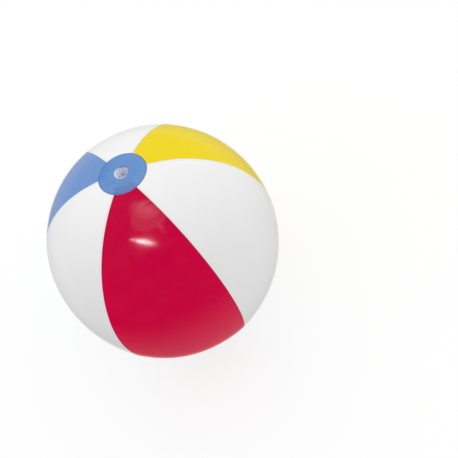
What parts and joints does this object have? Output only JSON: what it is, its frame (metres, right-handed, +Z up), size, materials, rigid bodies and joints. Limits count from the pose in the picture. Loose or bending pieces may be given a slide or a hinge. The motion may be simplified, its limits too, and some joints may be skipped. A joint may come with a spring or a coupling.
{
  "type": "inflatable beach ball",
  "caption": "Blown-up beach ball of coloured and white film gores welded side by side, with a disc at each pole and a sunk valve with a stopper in the top one.",
  "frame": {"origin": "middle of the flat patch that the ball stands on, under its lower pole", "axes": "+Z up the polar axis and out through the valve; -Y out through the middle of the red gore; -X towards the stopper's strap"},
  "size_m": [0.5098, 0.5069, 0.5062],
  "materials": {
    "film_red": "glossy printed PVC film",
    "film_white": "glossy printed PVC film",
    "film_yellow": "glossy printed PVC film",
    "film_blue": "glossy PVC film",
    "valve_pvc": "clear soft moulded PVC"
  },
  "bodies": {
    "ball": {"gore_red": "film_red", "gore_white_1": "film_white", "gore_yellow": "film_yellow", "gore_white_2": "film_white", "gore_blue": "film_blue", "gore_white_3": "film_white", "valve_disc": "film_blue", "base_disc": "film_blue", "valve_flange": "valve_pvc", "valve_web": "valve_pvc"},
    "neck": {"valve_neck": "valve_pvc", "stopper_strap": "valve_pvc"},
    "stopper": {"stopper": "valve_pvc"},
    "flap": {"check_flap": "valve_pvc"}
  },
  "joints": [
    {"name": "valve_slide", "type": "slide", "parent": "ball", "child": "neck", "axis": [0, 0, 1], "range_m": [0, 0.028], "deforming": ["valve_web"]},
    {"name": "stopper_swing", "type": "hinge", "parent": "neck", "child": "stopper", "pos_m": [-0.0098, 0, 0.49854], "axis": [0, -1, 0], "range_deg": [0, 100], "deforming": ["stopper_strap"]},
    {"name": "flap_swing", "type": "hinge", "parent": "neck", "child": "flap", "pos_m": [-0.0063, 0, 0.48429], "axis": [0, 1, 0], "range_deg": [0, 60], "stiffness_Nm_per_rad": 0.0001, "springref_deg": -17.19}
  ]
}
